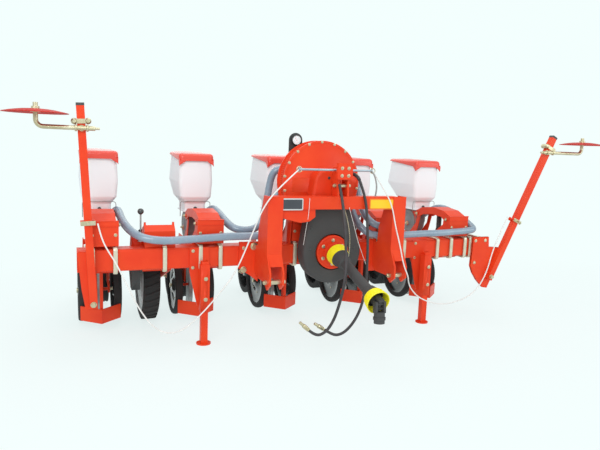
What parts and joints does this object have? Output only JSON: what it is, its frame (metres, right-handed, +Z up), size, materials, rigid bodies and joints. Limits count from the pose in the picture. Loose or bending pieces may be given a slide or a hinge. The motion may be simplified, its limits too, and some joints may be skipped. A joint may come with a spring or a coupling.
{
  "type": "row crop planter",
  "caption": "Mounted pneumatic row crop planter: toolbar, parallel-linkage row units with seed hoppers, suction fan, hitch frame, drive shaft and folding markers.",
  "frame": {"origin": "on the ground under the middle of the machine's footprint box", "axes": "+X along the toolbar, +Y to the rear, away from the tractor, +Z up"},
  "size_m": [4.0468, 1.9719, 1.3646],
  "materials": {
    "red_paint": "orange-red gloss paint",
    "black_paint": "black semi-gloss paint",
    "zinc": "yellow-passivated zinc plate",
    "steel": "plain steel",
    "hopper_plastic": "translucent white polyethylene",
    "lid_plastic": "red moulded plastic",
    "tyre_rubber": "black rubber",
    "guard_plastic": "black plastic",
    "hose_plastic": "grey-blue suction hose",
    "hose_rubber": "black hydraulic hose",
    "rope_fibre": "white cord"
  },
  "bodies": {
    "frame": {"toolbar": "red_paint", "row_brackets": "red_paint", "bar_brackets": "red_paint", "u_bolts": "zinc", "headstock": "red_paint", "fan_housing": "red_paint", "belt_guard": "black_paint", "pto_guard": "guard_plastic", "vacuum_gauge": "black_paint", "drive_unit": "red_paint", "vacuum_hoses": "hose_plastic", "hydraulic_hose_left": "hose_rubber", "hydraulic_hose_right": "hose_rubber", "hose_couplings": "zinc", "rope_left": "rope_fibre", "rope_right": "rope_fibre"},
    "drive_wheel": {"drive_wheel": "tyre_rubber"},
    "drive_pulley": {"drive_pulley": "red_paint"},
    "pto_shaft": {"pto_shaft": "steel"},
    "stand_leg_left": {"stand_leg_left": "red_paint"},
    "stand_leg_right": {"stand_leg_right": "red_paint"},
    "marker_arm_left": {"marker_arm_left": "red_paint"},
    "marker_arm_right": {"marker_arm_right": "red_paint"},
    "marker_disc_left": {"marker_disc_left": "red_paint"},
    "marker_disc_right": {"marker_disc_right": "red_paint"},
    "row_1_lower_link": {"row_1_lower_link": "red_paint"},
    "row_1_upper_link": {"row_1_upper_link": "red_paint"},
    "row_1_unit": {"row_1_chassis": "red_paint", "row_1_hopper": "hopper_plastic"},
    "row_1_lid": {"row_1_lid": "lid_plastic"},
    "row_1_gauge_wheels": {"row_1_gauge_wheels": "tyre_rubber"},
    "row_1_press_wheel": {"row_1_press_wheel": "tyre_rubber"},
    "row_2_lower_link": {"row_2_lower_link": "red_paint"},
    "row_2_upper_link": {"row_2_upper_link": "red_paint"},
    "row_2_unit": {"row_2_chassis": "red_paint", "row_2_hopper": "hopper_plastic"},
    "row_2_lid": {"row_2_lid": "lid_plastic"},
    "row_2_gauge_wheels": {"row_2_gauge_wheels": "tyre_rubber"},
    "row_2_press_wheel": {"row_2_press_wheel": "tyre_rubber"},
    "row_3_lower_link": {"row_3_lower_link": "red_paint"},
    "row_3_upper_link": {"row_3_upper_link": "red_paint"},
    "row_3_unit": {"row_3_chassis": "red_paint", "row_3_hopper": "hopper_plastic"},
    "row_3_lid": {"row_3_lid": "lid_plastic"},
    "row_3_gauge_wheels": {"row_3_gauge_wheels": "tyre_rubber"},
    "row_3_press_wheel": {"row_3_press_wheel": "tyre_rubber"},
    "row_4_lower_link": {"row_4_lower_link": "red_paint"},
    "row_4_upper_link": {"row_4_upper_link": "red_paint"},
    "row_4_unit": {"row_4_chassis": "red_paint", "row_4_hopper": "hopper_plastic"},
    "row_4_lid": {"row_4_lid": "lid_plastic"},
    "row_4_gauge_wheels": {"row_4_gauge_wheels": "tyre_rubber"},
    "row_4_press_wheel": {"row_4_press_wheel": "tyre_rubber"},
    "row_5_lower_link": {"row_5_lower_link": "red_paint"},
    "row_5_upper_link": {"row_5_upper_link": "red_paint"},
    "row_5_unit": {"row_5_chassis": "red_paint", "row_5_hopper": "hopper_plastic"},
    "row_5_lid": {"row_5_lid": "lid_plastic"},
    "row_5_gauge_wheels": {"row_5_gauge_wheels": "tyre_rubber"},
    "row_5_press_wheel": {"row_5_press_wheel": "tyre_rubber"}
  },
  "joints": [
    {"name": "row_1_drop", "type": "hinge", "parent": "frame", "child": "row_1_lower_link", "pos_m": [-1.5434, -0.046, 0.5], "axis": [-1, 0, 0], "range_deg": [0, 20]},
    {"name": "row_1_upper_link_swing", "type": "hinge", "parent": "frame", "child": "row_1_upper_link", "pos_m": [-1.5434, -0.17, 0.706], "axis": [-1, 0, 0], "range_deg": [0, 20]},
    {"name": "row_1_unit_level", "type": "hinge", "parent": "row_1_lower_link", "child": "row_1_unit", "pos_m": [-1.5434, 0.334, 0.5], "axis": [1, 0, 0], "range_deg": [0, 20]},
    {"name": "row_1_lid_hinge", "type": "hinge", "parent": "row_1_unit", "child": "row_1_lid", "pos_m": [-1.5434, 0.608, 1.098], "axis": [-1, 0, 0], "range_deg": [0, 105]},
    {"name": "row_1_gauge_wheels_spin", "type": "hinge", "parent": "row_1_unit", "child": "row_1_gauge_wheels", "pos_m": [-1.5434, 0.386, 0.2], "axis": [1, 0, 0], "continuous": true},
    {"name": "row_1_press_wheel_spin", "type": "hinge", "parent": "row_1_unit", "child": "row_1_press_wheel", "pos_m": [-1.5434, 0.816, 0.17], "axis": [1, 0, 0], "continuous": true},
    {"name": "row_2_drop", "type": "hinge", "parent": "frame", "child": "row_2_lower_link", "pos_m": [-0.9434, -0.046, 0.5], "axis": [-1, 0, 0], "range_deg": [0, 20]},
    {"name": "row_2_upper_link_swing", "type": "hinge", "parent": "frame", "child": "row_2_upper_link", "pos_m": [-0.9434, -0.17, 0.706], "axis": [-1, 0, 0], "range_deg": [0, 20]},
    {"name": "row_2_unit_level", "type": "hinge", "parent": "row_2_lower_link", "child": "row_2_unit", "pos_m": [-0.9434, 0.334, 0.5], "axis": [1, 0, 0], "range_deg": [0, 20]},
    {"name": "row_2_lid_hinge", "type": "hinge", "parent": "row_2_unit", "child": "row_2_lid", "pos_m": [-0.9434, 0.608, 1.098], "axis": [-1, 0, 0], "range_deg": [0, 105]},
    {"name": "row_2_gauge_wheels_spin", "type": "hinge", "parent": "row_2_unit", "child": "row_2_gauge_wheels", "pos_m": [-0.9434, 0.386, 0.2], "axis": [1, 0, 0], "continuous": true},
    {"name": "row_2_press_wheel_spin", "type": "hinge", "parent": "row_2_unit", "child": "row_2_press_wheel", "pos_m": [-0.9434, 0.816, 0.17], "axis": [1, 0, 0], "continuous": true},
    {"name": "row_3_drop", "type": "hinge", "parent": "frame", "child": "row_3_lower_link", "pos_m": [-0.3434, -0.046, 0.5], "axis": [-1, 0, 0], "range_deg": [0, 20]},
    {"name": "row_3_upper_link_swing", "type": "hinge", "parent": "frame", "child": "row_3_upper_link", "pos_m": [-0.3434, -0.17, 0.706], "axis": [-1, 0, 0], "range_deg": [0, 20]},
    {"name": "row_3_unit_level", "type": "hinge", "parent": "row_3_lower_link", "child": "row_3_unit", "pos_m": [-0.3434, 0.334, 0.5], "axis": [1, 0, 0], "range_deg": [0, 20]},
    {"name": "row_3_lid_hinge", "type": "hinge", "parent": "row_3_unit", "child": "row_3_lid", "pos_m": [-0.3434, 0.608, 1.098], "axis": [-1, 0, 0], "range_deg": [0, 105]},
    {"name": "row_3_gauge_wheels_spin", "type": "hinge", "parent": "row_3_unit", "child": "row_3_gauge_wheels", "pos_m": [-0.3434, 0.386, 0.2], "axis": [1, 0, 0], "continuous": true},
    {"name": "row_3_press_wheel_spin", "type": "hinge", "parent": "row_3_unit", "child": "row_3_press_wheel", "pos_m": [-0.3434, 0.816, 0.17], "axis": [1, 0, 0], "continuous": true},
    {"name": "row_4_drop", "type": "hinge", "parent": "frame", "child": "row_4_lower_link", "pos_m": [0.2566, -0.046, 0.5], "axis": [-1, 0, 0], "range_deg": [0, 20]},
    {"name": "row_4_upper_link_swing", "type": "hinge", "parent": "frame", "child": "row_4_upper_link", "pos_m": [0.2566, -0.17, 0.706], "axis": [-1, 0, 0], "range_deg": [0, 20]},
    {"name": "row_4_unit_level", "type": "hinge", "parent": "row_4_lower_link", "child": "row_4_unit", "pos_m": [0.2566, 0.334, 0.5], "axis": [1, 0, 0], "range_deg": [0, 20]},
    {"name": "row_4_lid_hinge", "type": "hinge", "parent": "row_4_unit", "child": "row_4_lid", "pos_m": [0.2566, 0.608, 1.098], "axis": [-1, 0, 0], "range_deg": [0, 105]},
    {"name": "row_4_gauge_wheels_spin", "type": "hinge", "parent": "row_4_unit", "child": "row_4_gauge_wheels", "pos_m": [0.2566, 0.386, 0.2], "axis": [1, 0, 0], "continuous": true},
    {"name": "row_4_press_wheel_spin", "type": "hinge", "parent": "row_4_unit", "child": "row_4_press_wheel", "pos_m": [0.2566, 0.816, 0.17], "axis": [1, 0, 0], "continuous": true},
    {"name": "row_5_drop", "type": "hinge", "parent": "frame", "child": "row_5_lower_link", "pos_m": [0.8566, -0.046, 0.5], "axis": [-1, 0, 0], "range_deg": [0, 20]},
    {"name": "row_5_upper_link_swing", "type": "hinge", "parent": "frame", "child": "row_5_upper_link", "pos_m": [0.8566, -0.17, 0.706], "axis": [-1, 0, 0], "range_deg": [0, 20]},
    {"name": "row_5_unit_level", "type": "hinge", "parent": "row_5_lower_link", "child": "row_5_unit", "pos_m": [0.8566, 0.334, 0.5], "axis": [1, 0, 0], "range_deg": [0, 20]},
    {"name": "row_5_lid_hinge", "type": "hinge", "parent": "row_5_unit", "child": "row_5_lid", "pos_m": [0.8566, 0.608, 1.098], "axis": [-1, 0, 0], "range_deg": [0, 105]},
    {"name": "row_5_gauge_wheels_spin", "type": "hinge", "parent": "row_5_unit", "child": "row_5_gauge_wheels", "pos_m": [0.8566, 0.386, 0.2], "axis": [1, 0, 0], "continuous": true},
    {"name": "row_5_press_wheel_spin", "type": "hinge", "parent": "row_5_unit", "child": "row_5_press_wheel", "pos_m": [0.8566, 0.816, 0.17], "axis": [1, 0, 0], "continuous": true},
    {"name": "drive_wheel_spin", "type": "hinge", "parent": "frame", "child": "drive_wheel", "pos_m": [-1.2434, 0.336, 0.3], "axis": [1, 0, 0], "continuous": true},
    {"name": "drive_pulley_spin", "type": "hinge", "parent": "frame", "child": "drive_pulley", "pos_m": [-0.2024, -0.349, 0.539], "axis": [0, -1, 0], "continuous": true},
    {"name": "pto_shaft_spin", "type": "hinge", "parent": "frame", "child": "pto_shaft", "pos_m": [-0.2024, -0.4126, 0.539], "axis": [0, -0.9537, -0.3007], "continuous": true},
    {"name": "stand_leg_left_slide", "type": "slide", "parent": "frame", "child": "stand_leg_left", "axis": [0, 0, 1], "range_m": [0, 0.08]},
    {"name": "stand_leg_right_slide", "type": "slide", "parent": "frame", "child": "stand_leg_right", "axis": [0, 0, 1], "range_m": [0, 0.08]},
    {"name": "marker_arm_left_swing", "type": "hinge", "parent": "frame", "child": "marker_arm_left", "pos_m": [-1.6034, -0.269, 0.285], "axis": [0, -1, 0], "range_deg": [0, 80]},
    {"name": "marker_disc_left_spin", "type": "hinge", "parent": "marker_arm_left", "child": "marker_disc_left", "pos_m": [-1.86646, -0.303, 1.31778], "axis": [0, 0, 1], "continuous": true},
    {"name": "marker_arm_right_swing", "type": "hinge", "parent": "frame", "child": "marker_arm_right", "pos_m": [1.1206, -0.269, 0.297], "axis": [0, 1, 0], "range_deg": [-22, 57]},
    {"name": "marker_disc_right_spin", "type": "hinge", "parent": "marker_arm_right", "child": "marker_disc_right", "pos_m": [1.86642, -0.303, 1.29261], "axis": [0, 0, 1], "continuous": true}
  ],
  "couplings": [
    {"joint": "row_1_upper_link_swing", "follows": "row_1_drop", "ratio": 1},
    {"joint": "row_1_unit_level", "follows": "row_1_drop", "ratio": 1},
    {"joint": "row_2_upper_link_swing", "follows": "row_2_drop", "ratio": 1},
    {"joint": "row_2_unit_level", "follows": "row_2_drop", "ratio": 1},
    {"joint": "row_3_upper_link_swing", "follows": "row_3_drop", "ratio": 1},
    {"joint": "row_3_unit_level", "follows": "row_3_drop", "ratio": 1},
    {"joint": "row_4_upper_link_swing", "follows": "row_4_drop", "ratio": 1},
    {"joint": "row_4_unit_level", "follows": "row_4_drop", "ratio": 1},
    {"joint": "row_5_upper_link_swing", "follows": "row_5_drop", "ratio": 1},
    {"joint": "row_5_unit_level", "follows": "row_5_drop", "ratio": 1},
    {"joint": "pto_shaft_spin", "follows": "drive_pulley_spin", "ratio": 1}
  ]
}
